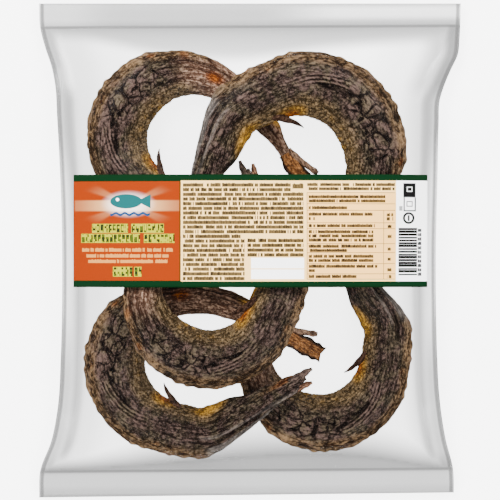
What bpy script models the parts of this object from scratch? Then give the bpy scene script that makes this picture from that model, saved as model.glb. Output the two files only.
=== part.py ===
"""Sealed clear bag with five curled smoked fish, lying on its back.

The bag is a flat film tube, welded shut across its top and its bottom. Five whole fish, each
curled into a hook, lie in it in a loose stack. The film hangs over the stack like a taut
skin, and a long paper sticker lies across the middle of the front. The bag is solid here:
its skin is what the outside of the film shows.

Lengths are in millimetres, and the meshes are made in metres.
"""
import bmesh
import bpy
import numpy as np

MM = 0.001

# The film tube. Each line across it has a height at its left and at its right end, because the
# tube was cut a little askew. The two sides are x at a height, from the bottom up.
BOTTOM_END = (-148.5, -145.5)
BOTTOM_WELD = (-133.0, -131.0)
TOP_WELD = (133.2, 134.4)
TOP_END = (147.9, 147.9)
LEFT_SIDE = [(-149, -126.5), (-133, -126.0), (-114, -119.0), (-98, -115.8), (-60, -113.3), (-20, -112.6),
             (20, -112.9), (54, -114.2), (81, -115.7), (99, -116.8), (110, -119.0), (122, -123.0),
             (134, -126.0), (148, -126.5)]
RIGHT_SIDE = [(-149, 122.4), (-131, 121.8), (-114, 117.5), (-90, 113.8), (-63, 112.2), (-38, 111.6),
              (0, 111.4), (45, 112.4), (76, 113.1), (90, 113.8), (99, 116.6), (108, 120.4), (117, 124.6),
              (128, 125.8), (148, 126.5)]
FILM = 0.8
SIDE_HEIGHT = 9.0
WELD_HEIGHT = 4.0
SIDE_CURVE = 20.0
WELD_CURVE = 28.0

# One fish: heading in degrees, half depth and half thickness at each length, from the forked tail
# to the tip of the jaws.
FISH_LENGTH = 302.0
BEND_MIDDLE = 156.0
HEADING = [(0, 150), (36, 148.5), (60, 160), (84, 175), (108, 204), (132, 237), (156, 273), (180, 308),
           (194, 333), (210, 346), (228, 358), (238, 386), (250, 391), (302, 389)]
HALF_DEPTH = [(0, 4.2), (14, 5), (30, 4.3), (38, 4.9), (48, 7), (72, 9.2), (96, 11.9), (120, 15.6),
              (138, 18.2), (165, 18.5), (190, 17.8), (206, 16.2), (226, 15), (238, 12.3), (252, 10.6),
              (266, 8.6), (284, 6.3), (296, 4.6), (302, 2.4)]
HALF_THICKNESS = [(0, 1), (14, 1.6), (30, 3), (44, 4.8), (72, 6.6), (96, 8.2), (120, 10), (145, 11.2),
                  (180, 11.2), (206, 10.6), (228, 9.6), (252, 7.6), (270, 6), (288, 4.4), (302, 1.8)]

# The five fish, from the bottom of the stack up: x and y of the bend's middle, turn in degrees,
# size and plumpness.
FISH = [
    (48.4, -102.7, 95.8, 1.0, 0.94),
    (-80.6, -70.0, 0.0, 1.0, 1.0),
    (-76.2, 82.0, -26.3, 1.0, 1.0),
    (-28.8, -64.4, 79.5, 1.02, 0.94),
    (63.6, 84.8, -141.5, 1.11, 1.0),
]
FISH_POINTS = 152
STIFF_POINTS = 6
END_POINTS = 9
FISH_SAG = 0.1
SETTLE_ROUNDS = 400

# The sticker. Its stiffness keeps the film smooth as far as a margin past its edge, over a reach
# and a pad counted in points of the fine net, and acts on some of the drape's rounds.
LABEL_LEFT = -105.5
LABEL_RIGHT = 106.0
LABEL_BOTTOM = -22.2
LABEL_TOP = 45.0
LABEL_THICKNESS = 0.3
LABEL_GAP = 0.4
LABEL_COLUMNS = 34
LABEL_ROWS = 11
LABEL_MARGIN = 4.0
LABEL_REACH = 6
LABEL_PAD = 4
LABEL_TURNS = 4

# The net of the skin, which the fine net halves, and the drape's rounds.
COLUMNS = 50
WELD_ROWS = 3
BODY_ROWS = 54
FINE = 2
SIDE_CROWDING = 0.3
DRAPE_ROUNDS = 1200
DRAPE_SAG = 0.004

# Steps in from the outline along the underside, as shares of the width and of the length.
UNDERSIDE_STEPS = [(1, 1), (0.955, 0.9), (0.9, 0.83), (0.8, 0.71)]
SHARP_DEGREES = 35


def smooth_through(at, stations):
    """Values at the given places on a smooth curve through the stations."""
    places, values = np.array(stations, float).T
    slopes = np.gradient(values, places)
    at = np.clip(at, places[0], places[-1])
    left = np.clip(np.searchsorted(places, at, side="right") - 1, 0, len(places) - 2)
    width = places[left + 1] - places[left]
    t = (at - places[left]) / width
    return ((2 * t**3 - 3 * t**2 + 1) * values[left] + (t**3 - 2 * t**2 + t) * width * slopes[left]
            + (3 * t**2 - 2 * t**3) * values[left + 1] + (t**3 - t**2) * width * slopes[left + 1])


def place_fish(x, y, turn, size, plumpness):
    """Points along one fish in plan, with the half depth and half thickness at each."""
    along = np.linspace(0, FISH_LENGTH, FISH_POINTS)
    heading = np.radians(smooth_through(along, HEADING))
    ways = np.stack([np.cos(heading), np.sin(heading)], axis=1)
    moves = (ways[1:] + ways[:-1]) / 2 * (along[1] - along[0])
    plan = np.vstack([np.zeros(2), np.cumsum(moves, axis=0)])
    plan -= plan[np.argmin(abs(along - BEND_MIDDLE))]
    angle = np.radians(turn)
    spin = np.array([[np.cos(angle), np.sin(angle)], [-np.sin(angle), np.cos(angle)]])
    half_depth = smooth_through(along, HALF_DEPTH) * size * plumpness
    half_thickness = smooth_through(along, HALF_THICKNESS) * size
    return plan * size @ spin + (x, y), half_depth, half_thickness


def straight_ends(height):
    """The heights with both ends of the fish carried on straight."""
    for line in (height, height[::-1]):
        slope = (line[END_POINTS] - line[2 * END_POINTS]) / END_POINTS
        line[:END_POINTS] = line[END_POINTS] + slope * np.arange(END_POINTS, 0, -1)
    return height


def settle(stack):
    """The same fish with the height of every point, each stiff and lying on those below it."""
    settled = []
    kernel = np.ones(2 * STIFF_POINTS + 1) / (2 * STIFF_POINTS + 1)
    for plan, half_depth, half_thickness in stack:
        lowest = half_thickness + FILM
        for below, below_depth, below_thickness, below_height in settled:
            apart = np.linalg.norm(plan[:, None] - below[None], axis=2)
            reach = half_depth[:, None] + below_depth[None]
            meeting = np.sqrt(np.clip(1 - (apart / reach) ** 2, 0, None))
            needed = below_height[None] + (half_thickness[:, None] + below_thickness[None]) * meeting
            lowest = np.maximum(lowest, np.where(apart < reach, needed, 0).max(axis=1))
        height = lowest.copy()
        for _ in range(SETTLE_ROUNDS):
            middle = np.convolve(height, kernel, "valid") - FISH_SAG
            height[STIFF_POINTS:-STIFF_POINTS] = middle
            height = np.maximum(lowest, straight_ends(height))
        settled.append((plan, half_depth, half_thickness, height))
    return settled


def stack_top(x, y, settled):
    """Height of the top of the stack at each point, where a fish lies under it."""
    top = np.zeros(x.shape)
    for plan, half_depth, half_thickness, height in settled:
        for (px, py), depth, thickness, middle in zip(plan, half_depth, half_thickness, height):
            inside = 1 - ((x - px) ** 2 + (y - py) ** 2) / depth**2
            crown = middle + thickness * np.sqrt(np.clip(inside, 0, None))
            top = np.where(inside > 0, np.maximum(top, crown), top)
    return top


def lay_net():
    """Plan points of the fine net: rows follow the welds, and columns crowd to the sides."""
    even = np.linspace(0, 1, COLUMNS * FINE + 1)
    share = even - SIDE_CROWDING * np.sin(2 * np.pi * even) / (2 * np.pi)
    bands = [(BOTTOM_END, BOTTOM_WELD, WELD_ROWS), (BOTTOM_WELD, TOP_WELD, BODY_ROWS),
             (TOP_WELD, TOP_END, WELD_ROWS)]
    ends = [np.linspace(lower, upper, rows * FINE, endpoint=False) for lower, upper, rows in bands]
    ends = np.vstack(ends + [TOP_END])
    y = ends[:, :1] * (1 - share) + ends[:, 1:] * share
    left = smooth_through(y, LEFT_SIDE)
    return left + (smooth_through(y, RIGHT_SIDE) - left) * share, y


def underside(x, y):
    """Height of the bag's underside: flat in the middle, lifting to the sides and the welds."""
    from_side = np.minimum(x - smooth_through(y, LEFT_SIDE), smooth_through(y, RIGHT_SIDE) - x)
    from_weld = np.minimum(y - BOTTOM_WELD[0], TOP_WELD[0] - y)
    swell = np.sin(np.clip(from_weld / TOP_WELD[0], 0, 0.5) * np.pi)
    side_lift = WELD_HEIGHT + (SIDE_HEIGHT - WELD_HEIGHT) * swell
    at_side = side_lift * np.clip(1 - from_side / SIDE_CURVE, 0, 1) ** 2
    at_weld = WELD_HEIGHT * np.clip(1 - np.clip(from_weld, 0, None) / WELD_CURVE, 0, 1) ** 2
    return np.maximum(at_side, at_weld)


def blurred(height, reach):
    """The height averaged over a square of net points, first along one way, then the other."""
    width = 2 * reach + 1
    for _ in range(2):
        longer = np.pad(height, [(reach, reach), (0, 0)], mode="edge")
        height = sum(longer[k:k + len(height)] for k in range(width)).T / width
    return height


def widened(height, reach):
    """The height with its ridges made wider and rounder, and nowhere lower."""
    crest = height
    for _ in range(2):
        longer = np.pad(crest, [(reach, reach), (0, 0)], mode="edge")
        crest = np.maximum.reduce([longer[k:k + len(crest)] for k in range(2 * reach + 1)]).T
    return blurred(crest, reach)


def drape(x, y):
    """Height of the film over the stack at every point of the fine net.

    The film starts above the stack and is drawn down round after round: a bare point goes to
    the mean of its four neighbours, a point under the stiff sticker to the mean of a wider
    square, and none goes below what lies under it.
    """
    settled = settle([place_fish(*fish) for fish in FISH])
    floor = underside(x, y) + FILM
    lowest = np.maximum(stack_top(x, y, settled) + FILM, floor)
    free = np.zeros(x.shape, bool)
    free[WELD_ROWS * FINE + 1:-WELD_ROWS * FINE - 1, 1:-1] = True
    labelled = (x > LABEL_LEFT - LABEL_MARGIN) & (x < LABEL_RIGHT + LABEL_MARGIN)
    labelled &= (y > LABEL_BOTTOM - LABEL_MARGIN) & (y < LABEL_TOP + LABEL_MARGIN)
    across = 1 / np.diff(x, axis=1)
    along = 1 / np.diff(y, axis=0)
    pulls = (across[1:-1, :-1], across[1:-1, 1:], along[:-1, 1:-1], along[1:, 1:-1])
    height = np.where(free, lowest.max(), floor)
    for turn in range(DRAPE_ROUNDS):
        neighbours = (height[1:-1, :-2], height[1:-1, 2:], height[:-2, 1:-1], height[2:, 1:-1])
        drawn = height.copy()
        drawn[1:-1, 1:-1] = sum(p * n for p, n in zip(pulls, neighbours)) / sum(pulls) - DRAPE_SAG
        drawn = np.where(labelled, height, drawn)
        if turn % LABEL_TURNS == 0:
            drawn = np.where(labelled, blurred(height, LABEL_REACH), drawn)
        height = np.where(free, np.maximum(lowest, drawn), height)
    share = blurred(widened(labelled, LABEL_PAD), LABEL_PAD)
    smooth = height + (widened(height, LABEL_PAD) - height) * share
    return np.where(free, smooth, height)


def height_at(place_x, place_y, x, y, height):
    """Height of the fine net at one place."""
    row_y = [np.interp(place_x, xs, ys) for xs, ys in zip(x, y)]
    row_height = [np.interp(place_x, xs, heights) for xs, heights in zip(x, height)]
    return np.interp(place_y, row_y, row_height)


def make_material(name, color, roughness, alpha):
    """A plain Principled material."""
    material = bpy.data.materials.new(name)
    material.use_nodes = True
    shader = material.node_tree.nodes["Principled BSDF"]
    shader.inputs["Base Color"].default_value = (*color, 1)
    shader.inputs["Roughness"].default_value = roughness
    shader.inputs["Metallic"].default_value = 0
    shader.inputs["Alpha"].default_value = alpha
    return material


def make_object(name, bm, material, collection):
    """A smooth-shaded object from a finished bmesh."""
    mesh = bpy.data.meshes.new(name)
    bm.to_mesh(mesh)
    bm.free()
    mesh.materials.append(material)
    mesh.shade_smooth()
    mesh.set_sharp_from_angle(angle=np.radians(SHARP_DEGREES))
    body = bpy.data.objects.new(name, mesh)
    collection.objects.link(body)
    return body


def make_bag(x, y, height, collection):
    """The skin, a rim as deep as the film, and an underside that steps in to a flat middle."""
    net = np.stack([x, y, height], axis=2)[::FINE, ::FINE]
    rows, columns = net.shape[:2]
    bm = bmesh.new()
    bmesh.ops.create_grid(bm, x_segments=columns - 1, y_segments=rows - 1, size=0.5)
    for vertex in bm.verts:
        column = round((vertex.co.x + 0.5) * (columns - 1))
        row = round((vertex.co.y + 0.5) * (rows - 1))
        vertex.co = net[row, column]
    edges = [edge for edge in bm.edges if edge.is_boundary]
    reached = (1, 1)
    for step in UNDERSIDE_STEPS:
        grown = bmesh.ops.extrude_edge_only(bm, edges=edges)["geom"]
        edges = [part for part in grown if isinstance(part, bmesh.types.BMEdge)]
        for vertex in [part for part in grown if isinstance(part, bmesh.types.BMVert)]:
            vertex.co.x *= step[0] / reached[0]
            vertex.co.y *= step[1] / reached[1]
            flat = step == UNDERSIDE_STEPS[-1]
            vertex.co.z = 0 if flat else underside(vertex.co.x, vertex.co.y)
        reached = step
    bmesh.ops.edgeloop_fill(bm, edges=edges)
    bmesh.ops.recalc_face_normals(bm, faces=bm.faces)
    bmesh.ops.scale(bm, vec=(MM, MM, MM), verts=bm.verts)
    material = make_material("clear_film", (0.78, 0.78, 0.77), 0.25, 0.35)
    make_object("bag", bm, material, collection)


def make_label(x, y, height, collection):
    """A flat sheet laid on the skin, thickened upward."""
    bm = bmesh.new()
    bmesh.ops.create_grid(bm, x_segments=LABEL_COLUMNS, y_segments=LABEL_ROWS, size=0.5)
    for vertex in bm.verts:
        place_x = LABEL_LEFT + (vertex.co.x + 0.5) * (LABEL_RIGHT - LABEL_LEFT)
        place_y = LABEL_BOTTOM + (vertex.co.y + 0.5) * (LABEL_TOP - LABEL_BOTTOM)
        vertex.co = (place_x, place_y, height_at(place_x, place_y, x, y, height) + LABEL_GAP)
    bmesh.ops.scale(bm, vec=(MM, MM, MM), verts=bm.verts)
    material = make_material("label_paper", (0.86, 0.66, 0.45), 0.5, 1)
    label = make_object("label", bm, material, collection)
    shell = label.modifiers.new("paper", "SOLIDIFY")
    shell.thickness = LABEL_THICKNESS * MM
    shell.offset = 1


for old in list(bpy.data.objects):
    bpy.data.objects.remove(old)
parts = bpy.data.collections.new("smoked_fish_bag")
bpy.context.scene.collection.children.link(parts)
net_x, net_y = lay_net()
skin = drape(net_x, net_y)
make_bag(net_x, net_y, skin, parts)
make_label(net_x, net_y, skin, parts)
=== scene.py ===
from functools import partialmethod

import bpy
import numpy as np
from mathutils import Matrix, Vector


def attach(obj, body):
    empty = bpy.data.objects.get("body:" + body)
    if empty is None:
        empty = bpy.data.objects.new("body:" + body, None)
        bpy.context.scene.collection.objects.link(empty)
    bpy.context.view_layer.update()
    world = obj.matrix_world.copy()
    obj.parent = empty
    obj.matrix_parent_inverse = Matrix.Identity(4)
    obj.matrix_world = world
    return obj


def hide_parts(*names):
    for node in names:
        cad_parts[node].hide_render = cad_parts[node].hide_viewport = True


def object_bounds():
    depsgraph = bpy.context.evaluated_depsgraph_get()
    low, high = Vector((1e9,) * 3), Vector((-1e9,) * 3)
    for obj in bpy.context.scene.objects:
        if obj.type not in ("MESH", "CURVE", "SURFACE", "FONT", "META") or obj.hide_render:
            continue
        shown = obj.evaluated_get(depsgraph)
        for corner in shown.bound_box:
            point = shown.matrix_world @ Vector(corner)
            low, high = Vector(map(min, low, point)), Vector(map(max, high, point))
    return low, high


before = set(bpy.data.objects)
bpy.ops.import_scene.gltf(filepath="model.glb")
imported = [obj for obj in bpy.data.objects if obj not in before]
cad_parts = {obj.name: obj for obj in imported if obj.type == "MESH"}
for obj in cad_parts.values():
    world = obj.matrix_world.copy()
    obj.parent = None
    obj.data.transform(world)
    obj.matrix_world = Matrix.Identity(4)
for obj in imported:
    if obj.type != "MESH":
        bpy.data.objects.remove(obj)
cad_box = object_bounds()


# The five fish are whole, smoked and dried hard, each curled into a hook. They lie loose in the
# bag, one over the other, and each is stiff enough to bridge from one to the next.
MM = 0.001
FISH_LENGTH = 302.0
BEND_MIDDLE = 156.0
HEADING = [(0, 150), (36, 148.5), (60, 160), (84, 175), (108, 204), (132, 237), (156, 273), (180, 308),
           (194, 333), (210, 346), (228, 358), (238, 386), (250, 391), (302, 389)]
HALF_DEPTH = [(0, 4.2), (14, 5), (30, 4.3), (38, 4.9), (48, 7), (72, 9.2), (96, 11.9), (120, 15.6),
              (138, 18.2), (165, 18.5), (190, 17.8), (206, 16.2), (226, 15), (238, 12.3), (252, 10.6),
              (266, 8.6), (284, 6.3), (296, 4.6), (302, 2.4)]
HALF_THICKNESS = [(0, 1), (14, 1.6), (30, 3), (44, 4.8), (72, 6.6), (96, 8.2), (120, 10), (145, 11.2),
                  (180, 11.2), (206, 10.6), (228, 9.6), (252, 7.6), (270, 6), (288, 4.4), (302, 1.8)]
# x and y of the bend's middle, turn in degrees, size and plumpness, from the bottom fish up.
STACK = [
    (48.4, -102.7, 95.8, 1.0, 0.94),
    (-80.6, -70.0, 0.0, 1.0, 1.0),
    (-76.2, 82.0, -26.3, 1.0, 1.0),
    (-28.8, -64.4, 79.5, 1.02, 0.94),
    (63.6, 84.8, -141.5, 1.11, 1.0),
]
FISH_POINTS = 152
STIFF_POINTS = 6
END_POINTS = 9
FISH_SAG = 0.1
SETTLE_ROUNDS = 400
FILM = 0.8


def smooth_through(at, stations):
    """Values on a curve through the stations: a cubic between each two, with their mean slopes."""
    places, values = np.array(stations, float).T
    slopes = np.gradient(values, places)
    at = np.clip(at, places[0], places[-1])
    left = np.clip(np.searchsorted(places, at, side="right") - 1, 0, len(places) - 2)
    width = places[left + 1] - places[left]
    t = (at - places[left]) / width
    return ((2 * t**3 - 3 * t**2 + 1) * values[left] + (t**3 - 2 * t**2 + t) * width * slopes[left]
            + (3 * t**2 - 2 * t**3) * values[left + 1] + (t**3 - t**2) * width * slopes[left + 1])


def place_fish(x, y, turn, size, plumpness):
    """Plan points of one fish: unit steps along its heading added up, then turned and moved."""
    along = np.linspace(0, FISH_LENGTH, FISH_POINTS)
    heading = np.radians(smooth_through(along, HEADING))
    ways = np.stack([np.cos(heading), np.sin(heading)], axis=1)
    moves = (ways[1:] + ways[:-1]) / 2 * (along[1] - along[0])
    plan = np.vstack([np.zeros(2), np.cumsum(moves, axis=0)])
    plan -= plan[np.argmin(abs(along - BEND_MIDDLE))]
    angle = np.radians(turn)
    spin = np.array([[np.cos(angle), np.sin(angle)], [-np.sin(angle), np.cos(angle)]])
    half_depth = smooth_through(along, HALF_DEPTH) * size * plumpness
    half_thickness = smooth_through(along, HALF_THICKNESS) * size
    return plan * size @ spin + (x, y), half_depth, half_thickness


def straight_ends(height):
    """The heights with both ends of the fish carried on straight."""
    for line in (height, height[::-1]):
        slope = (line[END_POINTS] - line[2 * END_POINTS]) / END_POINTS
        line[:END_POINTS] = line[END_POINTS] + slope * np.arange(END_POINTS, 0, -1)
    return height


def settle(stack):
    """The same fish with heights: the running mean less a sag, and nowhere through those below."""
    settled = []
    kernel = np.ones(2 * STIFF_POINTS + 1) / (2 * STIFF_POINTS + 1)
    for plan, half_depth, half_thickness in stack:
        lowest = half_thickness + FILM
        for below, below_depth, below_thickness, below_height in settled:
            apart = np.linalg.norm(plan[:, None] - below[None], axis=2)
            reach = half_depth[:, None] + below_depth[None]
            meeting = np.sqrt(np.clip(1 - (apart / reach) ** 2, 0, None))
            needed = below_height[None] + (half_thickness[:, None] + below_thickness[None]) * meeting
            lowest = np.maximum(lowest, np.where(apart < reach, needed, 0).max(axis=1))
        height = lowest.copy()
        for _ in range(SETTLE_ROUNDS):
            height[STIFF_POINTS:-STIFF_POINTS] = np.convolve(height, kernel, "valid") - FISH_SAG
            height = np.maximum(lowest, straight_ends(height))
        settled.append((plan, half_depth, half_thickness, height))
    return settled


settled_fish = settle([place_fish(*fish) for fish in STACK])

# The film: a clear tube welded shut across both ends. It hangs over the stack like a taut skin,
# goes cloudy where its two sheets touch, and is frosted and crimped along the welds. Its haze also
# carries painted shade: bands inside the two sides, a shade under the top weld and a dark hollow
# over the bottom weld.
BOTTOM_END = (-148.5, -145.5)
BOTTOM_WELD = (-133.0, -131.0)
TOP_WELD = (133.2, 134.4)
TOP_END = (147.9, 147.9)
LEFT_SIDE = [(-149, -126.5), (-133, -126.0), (-114, -119.0), (-98, -115.8), (-60, -113.3), (-20, -112.6),
             (20, -112.9), (54, -114.2), (81, -115.7), (99, -116.8), (110, -119.0), (122, -123.0),
             (134, -126.0), (148, -126.5)]
RIGHT_SIDE = [(-149, 122.4), (-131, 121.8), (-114, 117.5), (-90, 113.8), (-63, 112.2), (-38, 111.6),
              (0, 111.4), (45, 112.4), (76, 113.1), (90, 113.8), (99, 116.6), (108, 120.4), (117, 124.6),
              (128, 125.8), (148, 126.5)]
SIDE_HEIGHT = 9.0
WELD_HEIGHT = 4.0
SIDE_CURVE = 20.0
WELD_CURVE = 28.0
COLUMNS = 100
WELD_ROWS = 6
BODY_ROWS = 108
SIDE_CROWDING = 0.3
DRAPE_ROUNDS = 1200
DRAPE_SAG = 0.004
LABEL_LEFT, LABEL_RIGHT = -105.5, 106.0
LABEL_BOTTOM, LABEL_TOP = -22.2, 45.0
LABEL_MARGIN = 4.0
LABEL_REACH = 6
LABEL_PAD = 4
LABEL_TURNS = 4
FILM_FINER = 2


def net_ends():
    """y at the left and the right end of every row of the film's net, weld to weld."""
    bands = [(BOTTOM_END, BOTTOM_WELD, WELD_ROWS), (BOTTOM_WELD, TOP_WELD, BODY_ROWS),
             (TOP_WELD, TOP_END, WELD_ROWS)]
    ends = [np.linspace(lower, upper, rows, endpoint=False) for lower, upper, rows in bands]
    return np.vstack(ends + [TOP_END])


def net_share(even):
    """Share of the width that each column stands at: even steps less a sine crowd to the sides."""
    return even - SIDE_CROWDING * np.sin(2 * np.pi * even) / (2 * np.pi)


def underside(x, y):
    """Height of the lower sheet: flat in the middle, a parabola up to each side and each weld."""
    from_side = np.minimum(x - smooth_through(y, LEFT_SIDE), smooth_through(y, RIGHT_SIDE) - x)
    from_weld = np.minimum(y - BOTTOM_WELD[0], TOP_WELD[0] - y)
    swell = np.sin(np.clip(from_weld / TOP_WELD[0], 0, 0.5) * np.pi)
    side_lift = WELD_HEIGHT + (SIDE_HEIGHT - WELD_HEIGHT) * swell
    at_side = side_lift * np.clip(1 - from_side / SIDE_CURVE, 0, 1) ** 2
    at_weld = WELD_HEIGHT * np.clip(1 - np.clip(from_weld, 0, None) / WELD_CURVE, 0, 1) ** 2
    return np.maximum(at_side, at_weld)


def stack_top(x, y, settled):
    """Height of the top of the stack: the highest of the half ellipses that stand on the fish."""
    top = np.zeros(x.shape)
    for plan, half_depth, half_thickness, height in settled:
        for (px, py), deep, thick, middle in zip(plan, half_depth, half_thickness, height):
            inside = 1 - ((x - px) ** 2 + (y - py) ** 2) / deep**2
            crown = middle + thick * np.sqrt(np.clip(inside, 0, None))
            top = np.where(inside > 0, np.maximum(top, crown), top)
    return top


def blurred(height, reach):
    """The running mean over a square of net points, first along one way, then the other."""
    width = 2 * reach + 1
    for _ in range(2):
        longer = np.pad(height, [(reach, reach), (0, 0)], mode="edge")
        height = sum(longer[k:k + len(height)] for k in range(width)).T / width
    return height


def widened(height, reach):
    """The highest value in a square of net points, then blurred over the same square."""
    crest = height
    for _ in range(2):
        longer = np.pad(crest, [(reach, reach), (0, 0)], mode="edge")
        crest = np.maximum.reduce([longer[k:k + len(crest)] for k in range(2 * reach + 1)]).T
    return blurred(crest, reach)


def drape(x, y):
    """A taut skin: round after round, each point goes to the weighted mean of its four neighbours
    less a sag, under the sticker to the mean of a wider square, and never below the stack."""
    floor = underside(x, y) + FILM
    lowest = np.maximum(stack_top(x, y, settled_fish) + FILM, floor)
    free = np.zeros(x.shape, bool)
    free[WELD_ROWS + 1:-WELD_ROWS - 1, 1:-1] = True
    labelled = (x > LABEL_LEFT - LABEL_MARGIN) & (x < LABEL_RIGHT + LABEL_MARGIN)
    labelled &= (y > LABEL_BOTTOM - LABEL_MARGIN) & (y < LABEL_TOP + LABEL_MARGIN)
    across = 1 / np.diff(x, axis=1)
    along = 1 / np.diff(y, axis=0)
    pulls = (across[1:-1, :-1], across[1:-1, 1:], along[:-1, 1:-1], along[1:, 1:-1])
    height = np.where(free, lowest.max(), floor)
    for turn in range(DRAPE_ROUNDS):
        neighbours = (height[1:-1, :-2], height[1:-1, 2:], height[:-2, 1:-1], height[2:, 1:-1])
        drawn = height.copy()
        drawn[1:-1, 1:-1] = sum(p * n for p, n in zip(pulls, neighbours)) / sum(pulls) - DRAPE_SAG
        drawn = np.where(labelled, height, drawn)
        if turn % LABEL_TURNS == 0:
            drawn = np.where(labelled, blurred(height, LABEL_REACH), drawn)
        height = np.where(free, np.maximum(lowest, drawn), height)
    share = blurred(widened(labelled, LABEL_PAD), LABEL_PAD)
    smooth = height + (widened(height, LABEL_PAD) - height) * share
    return np.where(free, smooth, height)


row_ends = net_ends()
column_share = net_share(np.linspace(0, 1, COLUMNS + 1))
net_y = row_ends[:, :1] * (1 - column_share) + row_ends[:, 1:] * column_share
net_left = smooth_through(net_y, LEFT_SIDE)
net_x = net_left + (smooth_through(net_y, RIGHT_SIDE) - net_left) * column_share
skin = drape(net_x, net_y)


def sample(grid, row, column):
    """Values of a grid at parts of a row and a column, weighted between its four points."""
    r = np.clip(np.floor(row).astype(int), 0, grid.shape[0] - 2)
    c = np.clip(np.floor(column).astype(int), 0, grid.shape[1] - 2)
    u = row - r
    v = column - c
    return ((grid[r, c] * (1 - v) + grid[r, c + 1] * v) * (1 - u)
            + (grid[r + 1, c] * (1 - v) + grid[r + 1, c + 1] * v) * u)


def film_height(x, y):
    """Height of the film over any place: its share of the width and its row, found back."""
    left = smooth_through(y, LEFT_SIDE)
    share = (x - left) / (smooth_through(y, RIGHT_SIDE) - left)
    skew = np.diff(row_ends, axis=1)[:, 0]
    start = y
    for _ in range(3):
        start = y - share * np.interp(start, row_ends[:, 0], skew)
    row = np.interp(start, row_ends[:, 0], np.arange(len(row_ends)))
    column = np.interp(share, column_share, np.arange(COLUMNS + 1))
    return sample(skin, row, column)


class Wire:
    """A socket of a material's node tree. Arithmetic on it adds Math nodes."""

    known = {}

    def __init__(self, tree, socket=None):
        self.tree = tree
        self.socket = socket

    def __repr__(self):
        return f"{self.socket.node.name} {self.socket.identifier}"

    def node(self, kind, settings=None, inputs=None, output=0):
        """Adds a node, sets its settings, fills its sockets with values or Wires, and gives
        one of its outputs. A node that was made before with the same values is used again."""
        key = (self.tree.as_pointer(), kind, repr(settings), repr(inputs))
        made = Wire.known.get(key)
        if made is None:
            made = Wire.known[key] = self.tree.nodes.new(kind)
            for name, value in (settings or {}).items():
                setattr(made, name, value)
            for place, value in (inputs or {}).items():
                if isinstance(value, Wire):
                    self.tree.links.new(value.socket, made.inputs[place])
                else:
                    made.inputs[place].default_value = value
        return Wire(self.tree, made.outputs[output])

    def math(self, operation, *values):
        """A Math node on this value and others."""
        return self.node("ShaderNodeMath", {"operation": operation}, dict(enumerate((self,) + values)))

    __add__ = __radd__ = partialmethod(math, "ADD")
    __mul__ = __rmul__ = partialmethod(math, "MULTIPLY")
    __sub__ = partialmethod(math, "SUBTRACT")
    __truediv__ = partialmethod(math, "DIVIDE")
    __gt__ = partialmethod(math, "GREATER_THAN")
    __lt__ = partialmethod(math, "LESS_THAN")
    __abs__ = partialmethod(math, "ABSOLUTE")

    def __rsub__(self, other):
        return (self * -1) + other

    def rise(self, low, high):
        """0 at low, 1 at high and an S curve between."""
        settings = {"interpolation_type": "SMOOTHSTEP"}
        return self.node("ShaderNodeMapRange", settings, {0: self, 1: low, 2: high})

    def mix(self, first, second):
        """The first colour where this value is 0, and the second where it is 1."""
        return self.node("ShaderNodeMix", {"data_type": "RGBA"}, {0: self, 6: first, 7: second}, 2)

    def parts(self):
        """Red, green and blue of this colour, or x, y and z of this vector."""
        made = self.node("ShaderNodeSeparateXYZ", {}, {0: self}).socket.node
        return [Wire(self.tree, socket) for socket in made.outputs]

    def attribute(self, name, output=0):
        """A mesh attribute: its colour at output 0, vector 1, value 2, alpha 3."""
        return self.node("ShaderNodeAttribute", {"attribute_name": name}, output=output)

    def noise(self, scale, detail=2.0, rough=0.5):
        """Smooth noise from 0 to 1 on this place."""
        return self.node("ShaderNodeTexNoise", {}, {"Vector": self, "Scale": scale, "Detail": detail,
                                                    "Roughness": rough})

    def cells(self, scale):
        """Distance from this place to the nearest border between uneven cells, in cell sizes."""
        return self.node("ShaderNodeTexVoronoi", {"feature": "DISTANCE_TO_EDGE"},
                         {"Vector": self, "Scale": scale}, "Distance")

    def stretch(self, factors):
        """This vector times factors."""
        return self.node("ShaderNodeVectorMath", {"operation": "MULTIPLY"}, {0: self, 1: factors})

    def shift(self, amount):
        """This vector with an amount added to each of its three parts."""
        return self.node("ShaderNodeVectorMath", {"operation": "ADD"}, {0: self, 1: amount})


def tone(red, green, blue):
    """A colour from the share of red, green and blue light that it sends back, in percent."""
    return (red / 100, green / 100, blue / 100, 1.0)


def grey(share):
    """A grey from the share of light that it sends back, in percent."""
    return tone(share, share, share)


def new_material(name, roughness, specular):
    """A material with a plain shader, as the wire to build on and the shader itself."""
    material = bpy.data.materials.new(name)
    material.use_nodes = True
    shader = material.node_tree.nodes["Principled BSDF"]
    shader.inputs["Roughness"].default_value = roughness
    shader.inputs["Specular IOR Level"].default_value = specular
    return material, Wire(material.node_tree), shader


def feed(shader, **wires):
    """Links wires to the shader's sockets, named with _ for a space."""
    for name, wire in wires.items():
        wire.tree.links.new(wire.socket, shader.inputs[name.replace("_", " ")])


def in_scene(name, data):
    """A new object of a mesh, a lamp or a camera, in the scene."""
    made = bpy.data.objects.new(name, data)
    bpy.context.scene.collection.objects.link(made)
    return made


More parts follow.
